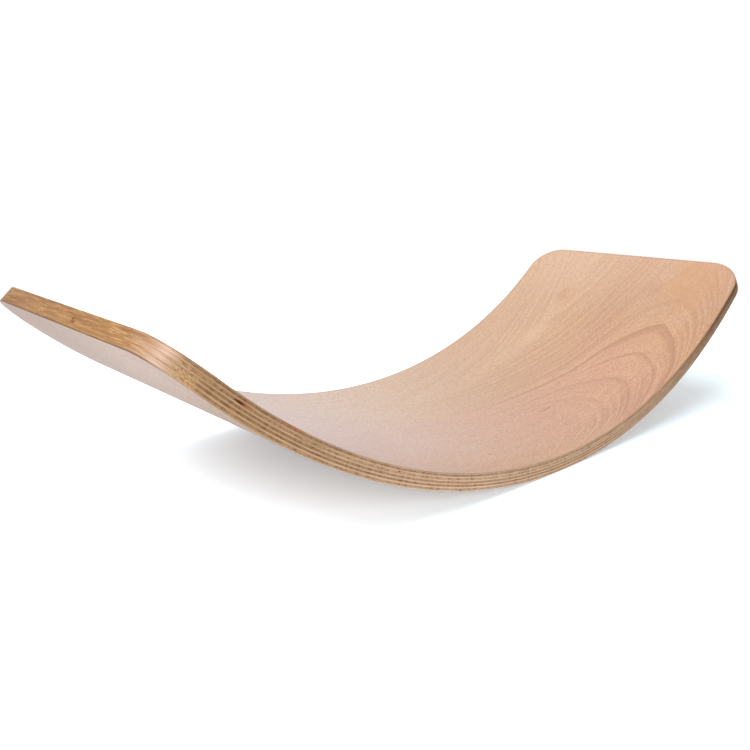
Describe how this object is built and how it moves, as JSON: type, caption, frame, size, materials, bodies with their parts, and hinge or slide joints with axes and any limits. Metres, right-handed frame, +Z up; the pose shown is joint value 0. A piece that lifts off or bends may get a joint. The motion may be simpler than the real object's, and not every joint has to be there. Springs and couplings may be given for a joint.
{
  "type": "balance board",
  "caption": "Curved rocker board of bent laminated beech veneers, with rounded corners, for balancing, rocking or lying in.",
  "frame": {"origin": "the middle of the underside, where the board rests on a level floor at rest", "axes": "+X along the board's length, +Y across its width, +Z up, out of the hollow of the curve"},
  "size_m": [0.8014, 0.3, 0.1689],
  "materials": {
    "beech_face": "satin",
    "cross_grain_core": "matte",
    "long_grain_core": "matte",
    "glue_line": "matte"
  },
  "bodies": {
    "root": {"bottom_face_veneer": "beech_face", "core_veneer_1_cross_grain": "cross_grain_core", "core_veneer_2_long_grain": "long_grain_core", "core_veneer_3_cross_grain": "cross_grain_core", "core_veneer_4_long_grain": "long_grain_core", "core_veneer_5_cross_grain": "cross_grain_core", "core_veneer_6_long_grain": "long_grain_core", "core_veneer_7_cross_grain": "cross_grain_core", "core_veneer_8_long_grain": "long_grain_core", "core_veneer_9_cross_grain": "cross_grain_core", "top_face_veneer": "beech_face"}
  },
  "joints": []
}
